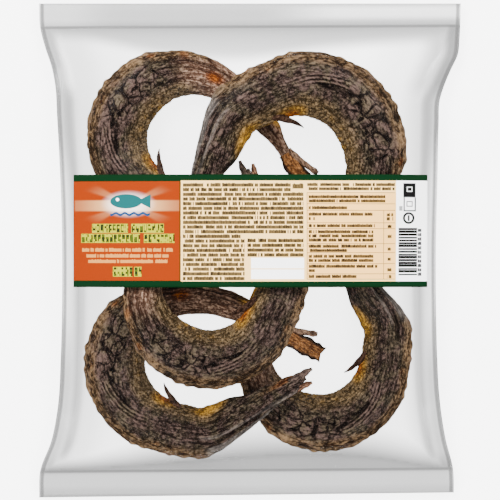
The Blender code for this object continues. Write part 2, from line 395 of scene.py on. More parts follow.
def make_piece(name, points, faces, values, material):
    """A smooth mesh from points in millimetres, four-sided and three-sided faces and values."""
    mesh = bpy.data.meshes.new(name)
    mesh.vertices.add(len(points))
    mesh.vertices.foreach_set("co", (points * MM).astype(np.float32).ravel())
    mesh.loops.add(sum(face.size for face in faces))
    mesh.loops.foreach_set("vertex_index", np.concatenate([face.ravel() for face in faces]))
    counts = np.concatenate([np.full(len(face), face.shape[1]) for face in faces])
    mesh.polygons.add(len(counts))
    mesh.polygons.foreach_set("loop_start", np.cumsum(counts) - counts)
    mesh.update(calc_edges=True)
    kinds = {1: ("FLOAT", "value"), 3: ("FLOAT_VECTOR", "vector"), 4: ("FLOAT_COLOR", "color")}
    for label, value in values.items():
        kind, field = kinds[value.size // len(points)]
        layer = mesh.attributes.new(label, kind, "POINT")
        layer.data.foreach_set(field, value.astype(np.float32).ravel())
    mesh.shade_smooth()
    mesh.materials.append(material)
    piece = in_scene(name, mesh)
    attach(piece, "root")
    return piece


def two_sheets(upper, lower):
    """Points and faces of two grids of the same size, joined all round by a rim. The upper faces
    up, the lower faces down."""
    rows, columns = upper.shape[:2]
    index = np.arange(rows * columns).reshape(rows, columns)
    around = [index[:-1, :-1], index[:-1, 1:], index[1:, 1:], index[1:, :-1]]
    quads = np.stack(around, axis=2).reshape(-1, 4)
    rim = np.concatenate([index[0, :-1], index[:-1, -1], index[-1, :0:-1], index[:0:-1, 0]])
    after = np.roll(rim, -1)
    low = rows * columns
    walls = np.stack([rim + low, after + low, after, rim], axis=1)
    points = np.concatenate([upper.reshape(-1, 3), lower.reshape(-1, 3)])
    return points, [np.concatenate([quads, quads[:, ::-1] + low, walls])]


def ease(value, low, high):
    """0 below low, 1 above high and an S curve between; low above high turns it round."""
    t = np.clip((value - low) / (high - low), 0, 1)
    return t**2 * (3 - 2 * t)


def between(value, low, high, soft):
    """1 from low to high, easing to 0 over soft on either side."""
    return ease(value, low - soft, low) * ease(value, high + soft, high)


def spot(along, across, middle, reach):
    """A soft round patch: 1 at the middle, easing to 0 at the reach along and across."""
    far = np.hypot((along - middle[0]) / reach[0], (across - middle[1]) / reach[1])
    return ease(far, 1, 0.3)


fine_rows = np.linspace(0, len(row_ends) - 1, (len(row_ends) - 1) * FILM_FINER + 1)
fine_columns = np.linspace(0, COLUMNS, COLUMNS * FILM_FINER + 1)
fine_row, fine_column = np.meshgrid(fine_rows, fine_columns, indexing="ij")
film_x, film_y, film_z = (sample(grid, fine_row, fine_column) for grid in (net_x, net_y, skin))
# Held within the CAD's box, which the finer net would pass by a few hundredths of a millimetre.
film_x = np.clip(film_x, cad_box[0][0] / MM, cad_box[1][0] / MM)
film_z = np.minimum(film_z, cad_box[1][2] / MM)
film_low = underside(film_x, film_y)
share_right = fine_column / COLUMNS
side_left = film_x - smooth_through(film_y, LEFT_SIDE)
side_right = smooth_through(film_y, RIGHT_SIDE) - film_x
from_side = np.minimum(side_left, side_right)
top_line = TOP_WELD[0] + (TOP_WELD[1] - TOP_WELD[0]) * share_right
bottom_line = BOTTOM_WELD[0] + (BOTTOM_WELD[1] - BOTTOM_WELD[0]) * share_right
above_top = film_y - top_line
below_bottom = bottom_line - film_y

# How dense the film looks, both sheets together: its haze, lighter seals, and painted shade in
# soft grey bands inside the two sides, under the top weld as far as a fold, and in a dark hollow
# where the film turns up to the bottom weld, darkest along a crease.
CLEAR = 0.17
FOLD = [(-130, 4), (-102, 5), (-51, 15), (-12, 18), (45, 11), (105, 7), (130, 6)]
CREASE = [(-130, -132), (-94, -130.8), (-45, -127.4), (-3, -124), (45, -122.4), (75, -124.5), (105, -129),
          (126, -131)]
CREASE_FADE = [(-130, 5), (-94, 6), (-45, 10), (-3, 13), (45, 12), (105, 9), (130, 7)]
BAND_WIDTH = 3.1
HOLLOW_REACH = 32
SEAL_MIDDLE = 8.5
below_top = -above_top
corner = 1 - between(film_y, -118, 88, 14)
band_at = 8 + 2.4 * ease(film_y, 60, -20)
# Painted shade inside both sides, wide and in a dense band close to each, narrow at the corners.
haze_and_shade = CLEAR + 0.24 * ease(side_left, 75, 30) + 0.28 * ease(side_left, 36, 18)
haze_and_shade += 0.2 * ease(side_right, 60, 30) + 0.38 * ease(side_right, 26, 12)
haze_and_shade += 1.05 * np.exp(-((from_side - band_at) / BAND_WIDTH) ** 2) * (1 - corner)
haze_and_shade += (0.15 + 0.6 * ease(abs(film_y), 35, 78) * (1 - corner)) * ease(from_side, 9, 4)
haze_and_shade += corner * (0.9 * ease(from_side, 10, 5) + 0.55 * ease(side_right, 28, 7))
# Painted shade under the top weld, as far as its fold.
fold = smooth_through(film_x, FOLD)
shade_under_weld = np.clip(1.56 - 0.036 * below_top, 0.2, 2) + 0.3 * np.exp(-np.clip(below_top, 0, 40) / 2.5)
haze_and_shade += np.clip(shade_under_weld - haze_and_shade, 0, 2) * ease(below_top, fold + 6, fold - 4)
# Painted shade in the hollow over the bottom weld, fading upwards from its crease.
over_crease = film_y - smooth_through(film_x, CREASE)
fading = 2.2 * np.exp(-np.clip(over_crease, 0, 60) / smooth_through(film_x, CREASE_FADE))
weld_hollow_shade = np.where(over_crease > 0, fading, 2.05 + 0.35 * np.exp(np.minimum(over_crease, 0) / 1.5))
haze_and_shade = np.where(below_bottom > -HOLLOW_REACH, np.maximum(haze_and_shade, weld_hollow_shade), haze_and_shade)
# The two seals; the right half of the top one has a clearer stripe along its middle.
bright = ease(share_right, 0.5, 0.68) * ease(abs(above_top - SEAL_MIDDLE), 6, 1.5)
top_seal = 1.08 + 0.35 * ease(share_right, 0.08, 0.25) - 0.8 * bright + 0.4 * ease(above_top, 5, 0)
haze_and_shade = np.where(above_top > 0.3, top_seal + 0.2 * ease(above_top, 11, 14), haze_and_shade)
bottom_seal = 1.45 + 0.4 * ease(below_bottom, 3, 0) + 0.4 * ease(below_bottom, 8, 14)
haze_and_shade = np.where(below_bottom > 0.3, bottom_seal, haze_and_shade)
sealed = np.maximum(ease(above_top, -0.6, 0.4), ease(below_bottom, -0.6, 0.4))
# Half of the haze and painted shade is on the upper sheet at the seals and along the sides, and
# nearly none elsewhere.
LEAST_VEIL = 0.012
upper_share = np.clip(np.maximum(sealed, ease(from_side, 13, 10)), 0, 1) * 0.5
upper_haze_and_shade = np.maximum(haze_and_shade * upper_share, LEAST_VEIL)
upper = np.stack([film_x, film_y, film_z], axis=2)
lower = np.stack([film_x, film_y, film_low], axis=2)
film_points, film_faces = two_sheets(upper, lower)
lines = np.stack([from_side, above_top, below_bottom], axis=2).reshape(-1, 3)
film_values = {"haze_with_painted_shade": np.concatenate([upper_haze_and_shade.ravel(), (haze_and_shade - upper_haze_and_shade).ravel()]),
               "lines": np.concatenate([lines, lines])}

# Darker lines run along both edges of each seal, a line of painted shade runs inside each of the
# two sides where the film folds round, and the film lets less through where it is seen edge on.
SIDE_LINE = 1.7
WELD_LINE = 0.2
SEAL_WIDTH = 13.2
FACE_ON_SHEEN = 0.034
film_material, wire, shader = new_material("bag_film", roughness=0.16, specular=0.5)
side_far, top_far, low_far = wire.attribute("lines", 1).parts()
# Painted shade: the dark line inside each side.
line = (1 - abs(side_far - SIDE_LINE).rise(0.3, 1.6)) * 1.5
for weld_far in (top_far, low_far):
    line = line.math("MAXIMUM", 1 - abs(weld_far - WELD_LINE).rise(0.2, 1.3))
    line = line.math("MAXIMUM", (weld_far - SEAL_WIDTH).rise(0.0, 1.6) * 0.5)
haze_shade_and_lines = wire.attribute("haze_with_painted_shade", 2) + line * 0.47
edge_on = wire.node("ShaderNodeFresnel", {}, {"IOR": 1.45}) - FACE_ON_SHEEN
see_through = (haze_shade_and_lines * -1).math("EXPONENT") * (1 - edge_on * 0.7)
shader.inputs["Base Color"].default_value = grey(6)
feed(shader, Alpha=1 - see_through)
film = make_piece("clear_bag", film_points, film_faces, film_values, film_material)
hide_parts("bag")

# Each fish's skin: shrunk onto the flesh in lengthwise wrinkles, scaly and pitted on the flank,
# split into plates on the bend, crusted along the back and golden at the belly.
FILM_CLEAR = 0.3
FLOOR_CLEAR = 0.2
BODY_START = 22.0
BODY_END = 299.0
RINGS = 470
SIDES = 128
# Sizes of the skin's swells, lumps, grain, scales and plates, in millimetres.
SWELL, LUMP, GRAIN, SCALE, PLATE = 9, 4, 1.7, 2.9, 10.5
# Stretches of the straight fish, by length: the bend, the back fin, and where the wrinkled skin of
# the tail end fades out and that of the head end fades in.
BEND = (128, 162)
BACK_FIN = (162, 198)
TAIL_SKIN = (128, 96)
HEAD_SKIN = (214, 240)
# The folded back fin's edge: where it is across the fish, at which length, and its slope.
FIN_ACROSS, FIN_START, FIN_SLOPE = -10.5, 161, 0.22
# Skin that stands higher than this on the two flanks is pressed down by the fish on top of it.
PROUD_SKIN = 0.35
# How far apart in the noise each fish lies from the next, so that no two are marked alike.
FLESH_APART = 40.0


def scatter(corner, seed):
    """Even random values: the fraction of a large sine of each whole-number corner."""
    wave = np.sin(corner @ np.array([127.1, 311.7, 74.7]) + seed * 17.3) * 43758.5453
    return wave - np.floor(wave)


def lumps(places, size, seed):
    """Smooth noise from -1 to 1: random values at whole corners, eased from corner to corner."""
    base = np.floor(places / size)
    part = places / size - base
    part = part**2 * (3 - 2 * part)
    total = 0
    for corner in np.ndindex(2, 2, 2):
        share = np.prod(np.where(corner, part, 1 - part), axis=-1)
        total = total + share * scatter(base + corner, seed)
    return total * 2 - 1


def plates(places, size, seed):
    """How far inside its plate each place is: distance to the second nearest of a jittered set
    of centres less that to the nearest, in plate sizes."""
    base = np.floor(places / size)
    nearest = np.full(places.shape[:-1], 9.0)
    second = nearest
    for step in np.ndindex(3, 3, 3):
        corner = base + step - 1
        jitter = np.stack([scatter(corner, seed + way) for way in range(3)], axis=-1)
        far = np.linalg.norm(places / size - corner - jitter, axis=-1)
        second = np.minimum(second, np.maximum(nearest, far))
        nearest = np.minimum(nearest, far)
    return second - nearest


rings = np.linspace(BODY_START, BODY_END, RINGS)
turns = np.linspace(-np.pi / 2, 1.5 * np.pi, SIDES, endpoint=False)
along, turn = np.meshgrid(rings, turns, indexing="ij")
towards_belly = np.cos(turn)
depth = smooth_through(along, HALF_DEPTH)
thickness = smooth_through(along, HALF_THICKNESS)
across = depth * towards_belly
proud = thickness * np.sin(turn)
places = np.stack([along, across, proud], axis=-1)
waver = lumps(places, SWELL, 1)
rough = lumps(places, LUMP, 2)
grain = lumps(places, GRAIN, 3)

# Lengthwise wrinkles: narrow across the fish and long along it, and strong at both ends.
streaks = lumps(places * (0.09, 1, 0.8), 1.7, 4) * 0.6 + lumps(places * (0.06, 1, 0.8), 3.4, 5)
at_tail = ease(along, *TAIL_SKIN)
at_head = ease(along, *HEAD_SKIN)
streaky = np.maximum(at_tail, at_head)
# The scales of the flank: small, with sunk edges.
scale = plates(places * (1, 1, 0.9), SCALE, 6)
scaly = ease(along, 92, 118) * ease(along, 250, 222)
# Plates along the middle of the flank on the bend, with open cracks between them.
plate = plates(places * (1, 1, 0.45) + waver[..., None] * 1.6, PLATE, 21)
plated = between(along, *BEND, 7) * between(across + rough * 1.5, -8.5, 3.5, 3)
crack = ease(plate, 0.13, 0.01) * plated * ease(rough + grain, -0.7, 0)
# The folded back fin: ridges that start at a torn notch on the bend and run towards the head.
fin_line = FIN_ACROSS + (along - FIN_START) * FIN_SLOPE
fin_zone = between(along, *BACK_FIN, 6) * between(across - fin_line, -1.5, 7.5, 1.5)
notch_width = 5 * ease(along, 186, 158)
notch = between(along, 158, 180, 4) * between(across - fin_line - 5.5, 0, notch_width, 1.2)
notch *= np.clip(0.55 + 0.8 * rough + 0.6 * grain, 0, 1)
# Long folds of the tail end, outer side: a band of loose skin with sunk lines on either side,
# which the colour darkens as painted shade.
fold_line = ease(abs(towards_belly + 0.62 + 0.05 * waver), 0.1, 0.02)
fold_line = np.maximum(fold_line, 0.8 * ease(abs(towards_belly + 0.3 + 0.06 * waver), 0.08, 0.02))
fold_line *= between(along, 58, 126, 10)
# The head: a hard ridge with a long hollow beside it.
head_ridge = ease(abs(across + 3.2 + (along - 235) * 0.04), 1.6, 0.2) * between(along, 234, 292, 8)
head_hollow = ease(abs(across + 6.2 + (235 - along) * 0.05), 1.5, 0.3) * between(along, 226, 286, 10)
# The crust along the back.
crusty = ease(towards_belly, -0.55, -0.86) * between(along, 104, 222, 14)
crust = np.clip(crusty * (0.95 + 0.9 * rough + 0.5 * grain), 0, 1)

# How far the skin stands over the plain half ellipses, in millimetres.
relief = 0.3 * waver + 0.22 * rough + 0.16 * grain
relief += 0.55 * streaks * (0.35 + 0.65 * streaky)
relief += scaly * (1 - 0.7 * crusty) * (0.35 * ease(scale, 0, 0.5) - 0.25)
relief -= 2.2 * crack + 1.5 * notch + 0.9 * fold_line + 0.7 * head_hollow
relief += 0.35 * fin_zone + 0.7 * head_ridge
relief += crusty * (1.1 * lumps(places, 5.3, 8) + 0.8 * lumps(places, 2.3, 9) + 0.3)
relief += 1.3 * spot(along, across, (229, -15), (5, 6))
relief += 0.9 * spot(along, across, (134, -13), (6, 6))
relief -= 0.5
press = np.where(abs(towards_belly) > 0.75, 1, 0.4)
relief = np.where(relief > PROUD_SKIN, PROUD_SKIN + (relief - PROUD_SKIN) * press, relief)
# The head bends sharply, and skin fills the inside of its bend.
web = 1 + 0.34 * spot(along, 0, (246, 0), (22, 1)) * ease(towards_belly, 0.1, 0.9)


def fish_frame(fish, along):
    """Middle of the fish, its belly side and its up side at each length; past its two ends it
    carries on straight."""
    plan, _, _, height = fish
    stations = np.linspace(0, FISH_LENGTH, FISH_POINTS)
    line = np.column_stack([plan, height])
    held = np.clip(along, 0, FISH_LENGTH)
    curves = [np.column_stack([stations, line[:, k]]) for k in range(3)]
    middle = np.stack([smooth_through(held, curve) for curve in curves], axis=-1)
    slope = np.gradient(line, stations, axis=0)
    way = np.stack([np.interp(held, stations, slope[:, k]) for k in range(3)], axis=-1)
    middle = middle + way * (along - held)[..., None]
    way = way / np.linalg.norm(way, axis=-1, keepdims=True)
    side = np.stack([-way[..., 1], way[..., 0], np.zeros(along.shape)], axis=-1)
    side = side / np.linalg.norm(side, axis=-1, keepdims=True)
    return middle, side, np.cross(way, side)


def onto_fish(fish, size, plumpness, places):
    """Places in a straight fish's own lengths, put onto a curled one, and kept under the film."""
    middle, side, up = fish_frame(fish, places[..., 0])
    points = middle + side * places[..., 1:2] * size * plumpness + up * places[..., 2:3] * size
    roof = film_height(points[..., 0], points[..., 1]) - FILM_CLEAR
    points[..., 2] = np.minimum(points[..., 2], roof)
    points[..., 2] = np.maximum(points[..., 2], FLOOR_CLEAR)
    return points


def tube(grid):
    """Points and faces of rings of points, closed round each ring and by a fan at each end."""
    count, sides = grid.shape[:2]
    index = np.arange(count * sides).reshape(count, sides)
    after = np.roll(index, -1, axis=1)
    quads = np.stack([index[:-1], after[:-1], after[1:], index[1:]], axis=2).reshape(-1, 4)
    first = np.full(sides, count * sides)
    fans = np.concatenate([np.stack([after[0], index[0], first], axis=1),
                           np.stack([index[-1], after[-1], first + 1], axis=1)])
    tips = grid[[0, -1]].mean(axis=1)
    return np.concatenate([grid.reshape(-1, grid.shape[2]), tips]), quads, fans


def limb(stations, ring_count, sides, bow=0.0, notch=0.0, wrinkle=0.25, seed=0):
    """A thin piece of the fish, as places: ellipses whose middle, half width and half thickness
    run through the stations; bow lifts its two edges, notch cuts a hollow into its tip."""
    stations = np.array(stations, float)
    share = np.linspace(0, 1, len(stations))
    at = np.linspace(0, 1, ring_count)
    s, n, b, wide, thick = (smooth_through(at, np.column_stack([share, stations[:, k]])) for k in range(5))
    ds, dn = np.gradient(s), np.gradient(n)
    size = np.hypot(ds, dn)
    angle = np.linspace(0, 2 * np.pi, sides, endpoint=False)
    part, height = np.cos(angle), np.sin(angle)
    reach = wide[:, None] * part * (1 + 0.08 * np.sin(at[:, None] * 23 + part * 3))
    grid = np.stack([s[:, None] - (dn / size)[:, None] * reach, n[:, None] + (ds / size)[:, None] * reach,
                     b[:, None] + thick[:, None] * height + bow * part**2 * at[:, None] ** 0.5], axis=2)
    tip = notch * (1 - part**2) * ease(at, 0.6, 1)[:, None]
    grid[..., 0] -= (ds / size)[:, None] * tip
    grid[..., 1] -= (dn / size)[:, None] * tip
    ripple = wrinkle * lumps(grid * (0.12, 1.1, 1), 1.3, 40 + seed) * ease(thick, 0.2, 1.5)[:, None]
    grid[..., 2] += ripple * height
    return grid


# The stiff thin pieces: two limbs of a broken tail fin, the pelvic spine, and the two jaws.
tail_lobe = limb([(29, 0.4, 0, 4.4, 2.6), (20, 0.3, 0, 5.4, 1.4), (10, -0.3, 0, 5.6, 1.0),
                  (4, -0.6, 0.2, 5.2, 0.8), (-1, -0.9, 0.3, 4.7, 0.5)], 60, 36, bow=1.5, notch=3.0, seed=1)
tail_prong = limb([(30, -2.0, 0.6, 2.2, 1.9), (24, -4.2, 0.8, 1.9, 1.7), (16, -7.0, 0.9, 1.7, 1.5),
                   (11, -9.0, 0.9, 1.9, 1.5), (8.6, -9.9, 0.9, 1.3, 1.1)], 40, 24, seed=2)
spine = limb([(214, 11.0, 3.6, 1.4, 1.0), (210, 13.8, 4.0, 2.3, 1.2), (204, 17.4, 3.6, 1.8, 1.0),
              (198, 20.8, 3.0, 1.2, 0.7), (192.4, 23.8, 2.6, 0.35, 0.3)], 40, 20, wrinkle=0.1, seed=3)
upper_jaw = limb([(282, -0.2, 0.6, 4.0, 3.6), (290, 0.8, 0.6, 3.6, 3.1), (296, 1.6, 0.5, 2.7, 2.3),
                  (301, 2.2, 0.3, 1.9, 1.6), (305, 2.3, 0.2, 0.9, 0.8)], 50, 36, seed=4)
lower_jaw = limb([(280, -2.2, -0.4, 3.4, 3.0), (288, -3.0, -0.5, 2.9, 2.5), (294, -3.9, -0.5, 2.2, 1.9),
                  (298, -4.5, -0.5, 1.7, 1.4), (301, -4.9, -0.5, 0.9, 0.8)], 50, 30, seed=5)

normal = np.stack([towards_belly / depth, np.sin(turn) / thickness], axis=-1)
normal /= np.linalg.norm(normal, axis=-1, keepdims=True)
body_n = across * np.where(towards_belly > 0, web, 1) + normal[..., 0] * relief
body_b = proud + normal[..., 1] * relief
end_shrink = 1 - 0.35 * ease(along, 290, 299)
body = np.stack([along, body_n * end_shrink, body_b * end_shrink], axis=-1)

# Colour regions, each from 0 to 1.
tail_brown = at_tail * (0.75 + 0.25 * waver)
olive = between(along, 112, 236, 18) * ease(towards_belly + 0.12 * waver, 0.25, 0.72)
golden = np.maximum.reduce([
    spot(along, across * web, (236, 13), (20, 5)) * ease(towards_belly, 0.5, 0.9),
    0.7 * spot(along, across, (199, 15), (16, 5)),
    0.4 * ease(towards_belly, 0.6, 0.9) * between(along, 130, 220, 8) * ease(rough, 0.1, 0.6),
    0.75 * spot(along, across, (51, -5.5), (11, 4))])
orange = spot(along, across, (201, 17), (10, 4.5)) + spot(along, across, (92, -1.5), (8, 5))
orange = orange + 0.35 * crusty * ease(lumps(places, 5, 11), 0.35, 0.8)
orange = orange + 0.4 * spot(along, across, (287, 4.0), (12, 2.2))
crust = np.maximum(crust, 0.85 * spot(along, across, (283, 4.6), (20, 2.8)))
facet = between(along, 234, 286, 5) * between(across, -15.5, -9.4 + (along - 234) * 0.05, 1)
pale = np.clip(0.95 * facet + 0.5 * head_ridge, 0, 1)
# Painted shade: darker in the cracks, the notch, the tail folds, the head hollow, the sunk scale edges and
# the troughs of the wrinkles.
sunk_shade = np.maximum.reduce([
    np.clip(crack + notch + 0.5 * fold_line + 0.55 * head_hollow, 0, 1),
    0.22 * scaly * (1 - 0.6 * crusty) * ease(scale, 0.2, 0.02),
    0.5 * streaky * ease(streaks, -0.25, -0.6)])
# Painted light: the colour is lighter where the skin stands higher, and a painted rim light lightens it
# towards the back and belly edges.
height_and_rim_light = np.clip(0.5 + relief * 0.5 + 0.2 * ease(abs(towards_belly), 0.86, 0.99), 0, 1)
regions = np.stack([crust, olive, golden, tail_brown], axis=-1)
marks = np.stack([sunk_shade, pale, np.clip(orange, 0, 1), height_and_rim_light], axis=-1)

# Each thin piece's crust, olive, gold and tail brown, then how dark, pale, orange and high it is.
LIMBS = [(tail_lobe, (0, 0, 0.3, 0.6, 0.1, 0, 0.5, 0.4)), (tail_prong, (0.4, 0, 0, 1, 0, 0.1, 0.05, 0.6)),
         (spine, (0, 0, 0, 0.5, 0.72, 0, 0.35, 0.3)), (upper_jaw, (0, 0, 0, 0.2, 0.1, 0.15, 0, 0.5)),
         (lower_jaw, (0.1, 0, 0, 0.6, 0, 0.1, 0.3, 0.5))]
grids = [np.concatenate([body, regions, marks], axis=-1)]
for grid, look in LIMBS:
    grids.append(np.concatenate([grid, np.broadcast_to(look, grid.shape[:2] + (8,))], axis=-1))
# The tail fin is dark along both edges.
fin_turns = np.linspace(0, 2 * np.pi, tail_lobe.shape[1], endpoint=False)
grids[1][..., 7] = 0.85 * ease(abs(np.cos(fin_turns)), 0.45, 0.85)

points, quads, fans, start = [], [], [], 0
for grid in grids:
    part_points, part_quads, part_fans = tube(grid)
    points.append(part_points)
    quads.append(part_quads + start)
    fans.append(part_fans + start)
    start += len(part_points)
points = np.concatenate(points)
fish_faces = [np.concatenate(quads), np.concatenate(fans)]

skin_material, wire, shader = new_material("fish_skin", roughness=0.7, specular=0.0)
flesh = wire.attribute("flesh", 1)
length, breadth, _ = flesh.parts()
crust_share, olive_share, golden_share = wire.attribute("regions").parts()
dark_and_sunk_shade, pale_share, orange_share = wire.attribute("marks").parts()
tail_share = wire.attribute("regions", 3)
raised_and_rim_light = wire.attribute("marks", 3)
fine = flesh.noise(0.6, 3.0, 0.62)
middle = flesh.noise(0.24, 3.0, 0.6)
coarse = flesh.noise(0.22)
streaked = flesh.stretch((0.17, 1.0, 1.0)).noise(0.85, 3.0, 0.6)
# Thin creases, and a net of wrinkles drawn out along the fish: the creases are painted shade
# only, the wrinkles are bumps as well as painted shade.
crease_shade = 1 - abs(flesh.noise(0.33, 2.0, 0.55) - 0.5).rise(0.0, 0.06)
shaken = flesh.shift(flesh.noise(0.7) * 2.6)
wrinkles = 1 - shaken.stretch((0.55, 1.0, 1.0)).cells(0.42).rise(0.0, 0.2)
# Painted shade in the open cracks between the plates on the bend.
edge = flesh.shift(flesh.noise(0.4) * 2.4).cells(0.13)
bend = (length.rise(122, 132) - length.rise(158, 168)) * (breadth.rise(-14, -8) - breadth.rise(2, 7))
crack_shade = (1 - edge.rise(0.02, 0.1)) * bend
# The folded fin's rays: fine lines that run along the fish between two slanted edges.
from_fin = breadth - FIN_ACROSS - (length - FIN_START) * FIN_SLOPE + coarse
rays = (from_fin * 2.9).math("SINE") * (length.rise(158, 168) - length.rise(184, 202))
rays = rays * (from_fin.rise(-0.5, 1.5) - from_fin.rise(6.0, 8.0))
# Long grooves painted as dark lines of shade, deepest towards both ends of the fish.
run = flesh.stretch((0.07, 1.0, 1.0)).noise(0.5)
groove_shade = 1 - abs(run - 0.5).rise(0.0, 0.05)
ends = 1 - length.rise(112, 136) * (1 - length.rise(212, 236))
# How light the skin is, from 0 to 1: the noises about their mean, with painted light on raised
# skin and edges and painted shade in the wrinkles, creases and grooves.
lit = (fine - 0.5) * 1.15 + (middle - 0.5) * 0.5 + (streaked - 0.5) * 1.1 + (coarse - 0.5) * 0.2
lit = lit + raised_and_rim_light * 0.45 - wrinkles * 0.2 - crease_shade * 0.18 - groove_shade * (ends * 0.34 + 0.1)
lit = (lit + rays * 0.25 + bend * 0.19 - crust_share * 0.1 + 0.56).rise(0.0, 1.0)
# Squared, as the eye sees equal steps of shade where the light grows faster and faster.
lit = lit * lit
reddish = lit.mix(tone(0.6, 0.36, 0.28), tone(9.8, 6.3, 5.2))
brownish = lit.mix(tone(0.6, 0.44, 0.28), tone(9.8, 7.3, 4.8))
colour = flesh.noise(0.13).rise(0.4, 0.62).mix(reddish, brownish)
# Where each other colour of the skin lies, and its darkest and lightest tone: brown tail, olive
# flank, crust, gold, orange, pale head, and painted shade in the cracks and hollows, which the
# thin pieces also use for their own darker colour.
# The tail's tones are its brown, raised as painted light against the shade of the fish lying over it.
SKIN_TONES = [(tail_share.rise(0.05, 0.9), (4.2, 1.9, 1.1), (33.0, 20.5, 14.0)),
              (olive_share, (1.9, 1.2, 0.5), (20.5, 13.6, 7.0)),
              (crust_share, (1.0, 0.55, 0.3), (19.0, 11.6, 6.0)),
              (golden_share, (9.0, 4.4, 0.93), (60.0, 30.0, 2.4)),
              (orange_share, (5.0, 1.3, 0.45), (33.0, 9.0, 1.0)),
              (pale_share * 0.75, (5.0, 4.3, 3.9), (17.0, 15.0, 13.5)),
              (dark_and_sunk_shade.math("MAXIMUM", crack_shade).rise(0.1, 0.95), (0.2, 0.12, 0.1), (1.6, 1.1, 0.9))]
for share, darkest, lightest in SKIN_TONES:
    colour = share.mix(colour, lit.mix(tone(*darkest), tone(*lightest)))
height = fine * 0.8 + streaked * 0.6 + middle * 0.6 - wrinkles * 0.5
bump = wire.node("ShaderNodeBump", {}, {"Strength": 0.9, "Distance": 0.0008, "Height": height})
feed(shader, Base_Color=colour, Normal=bump, Roughness=0.72 - golden_share * 0.3 - orange_share * 0.2)

for number, (fish, lie) in enumerate(zip(settled_fish, STACK)):
    spread = onto_fish(fish, lie[3], lie[4], points[:, :3])
    flesh_places = points[:, :3] + (0, 0, FLESH_APART * number)
    values = {"flesh": flesh_places, "regions": points[:, 3:7], "marks": points[:, 7:11]}
    make_piece(f"fish_{number + 1}", spread, fish_faces, values, skin_material)

# The sticker: a printed paper strip stuck on the front of the film. It bridges the film's hollows
# and follows its broad swells. The print is plain fields, rules and rows of small marks.
LABEL_THICKNESS = 0.2
LABEL_GAP = 0.36
LABEL_ROWS = 48
# Places in the print, in millimetres from the object's middle: the orange panel's right edge, the
# cream field's left edge and the white strip's left edge.
PANEL_EDGE = -42.3
PAPER_LEFT = -41.1
STRIP_LEFT = 87.0
# Edges of the green bars, over the orange panel and over the rest.
BARS_LEFT = (-18.35, 41.2)
BARS_RIGHT = (-18.8, 41.65)
# The print was measured as it is seen from above, a little larger than it is.
PRINT_SCALE = 1008.0
GREEN = tone(0.05, 1.2, 0.3)
ORANGE = tone(16.4, 1.7, 0.02)
CREAM = tone(82, 52, 18)
TABLE = tone(80, 45, 13)
PALE = tone(84, 52, 22)
WHITE = grey(95)
INK = tone(1.1, 0.75, 0.42)
BOLD_INK = tone(0.45, 0.32, 0.2)
# Widths of the gap between two words and of one upright block, with its pale outline.
WORD_GAP = 0.7
BLOCK_WIDE = 2.45
BLOCK_OUTLINE = 0.34

label_columns = [np.linspace(LABEL_LEFT, PAPER_LEFT, 45, endpoint=False),
                 np.linspace(PAPER_LEFT, STRIP_LEFT, 90, endpoint=False),
                 np.linspace(STRIP_LEFT, LABEL_RIGHT, 14)]
even_y = np.linspace(LABEL_BOTTOM, LABEL_TOP, LABEL_ROWS + 1)
label_y, label_x = np.meshgrid(even_y, np.concatenate(label_columns), indexing="ij")
label_z = film_height(label_x, label_y) + LABEL_GAP
label_low = np.stack([label_x, label_y, label_z], axis=2)
label_points, label_faces = two_sheets(label_low + (0, 0, LABEL_THICKNESS), label_low)


